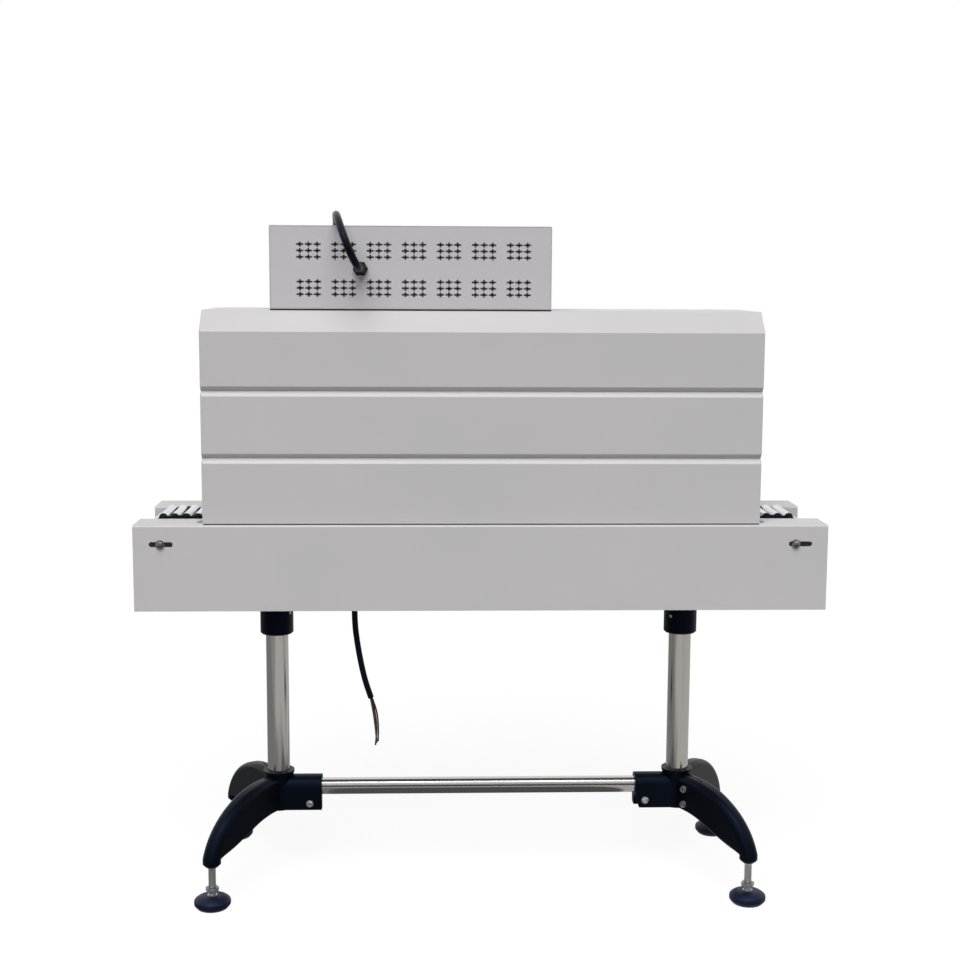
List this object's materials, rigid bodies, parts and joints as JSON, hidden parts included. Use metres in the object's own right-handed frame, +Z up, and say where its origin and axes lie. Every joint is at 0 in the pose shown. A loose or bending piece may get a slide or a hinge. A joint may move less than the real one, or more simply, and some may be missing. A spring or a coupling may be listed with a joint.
{
  "type": "shrink tunnel",
  "caption": "Shrink tunnel for sleeve labels: folded sheet hood over a roller-chain conveyor on pedestal posts with levelling feet, with a vented control box on its roof.",
  "frame": {"origin": "on the floor, under the middle of the conveyor in plan", "axes": "+X along the conveyor, +Z up, -Y towards the service side with the vents and cables"},
  "size_m": [1.5, 0.51, 1.5174],
  "materials": {
    "painted_sheet": "light grey powder coat, semi-gloss",
    "bare_sheet": "mill finish sheet",
    "bright_zinc": "bright zinc plate",
    "rubber_parts": "matt",
    "roller_steel": "bright ground steel",
    "chain_steel": "blackened, oiled",
    "guide_plastic": "machined, matt",
    "polished_tube": "polished tube",
    "black_plastic": "moulded glass-filled nylon, satin",
    "cable_jacket": "satin",
    "core_insulation": "satin"
  },
  "bodies": {
    "root": {"belly_pan": "painted_sheet", "box_gland": "black_plastic", "box_lead": "cable_jacket", "box_spacers": "rubber_parts", "chain_guides": "guide_plastic", "control_box_body": "painted_sheet", "control_knobs": "black_plastic", "control_meters": "black_plastic", "control_panel": "painted_sheet", "control_switches": "black_plastic", "conveyor_rollers": "roller_steel", "cross_tube": "polished_tube", "drive_shaft": "roller_steel", "far_chain": "chain_steel", "far_left_foot_pad": "black_plastic", "far_lower_panel": "painted_sheet", "far_middle_panel": "painted_sheet", "far_right_foot_pad": "black_plastic", "far_side_rail": "painted_sheet", "hood_hold_downs": "bright_zinc", "hood_top_cover": "painted_sheet", "idler_shaft": "roller_steel", "left_bipod": "black_plastic", "left_end_plate": "painted_sheet", "left_post": "polished_tube", "left_top_socket": "black_plastic", "levelling_spindles": "bright_zinc", "mains_cable": "cable_jacket", "mains_cores": "core_insulation", "mains_gland": "black_plastic", "near_chain": "chain_steel", "near_left_foot_pad": "black_plastic", "near_lower_panel": "painted_sheet", "near_middle_panel": "painted_sheet", "near_right_foot_pad": "black_plastic", "near_side_rail": "painted_sheet", "right_bipod": "black_plastic", "right_end_plate": "painted_sheet", "right_post": "polished_tube", "right_top_socket": "black_plastic", "roof_gland": "black_plastic", "sprockets": "chain_steel", "take_up_bolts": "bright_zinc", "tunnel_liner": "bare_sheet", "vent_panel": "painted_sheet"}
  },
  "joints": []
}
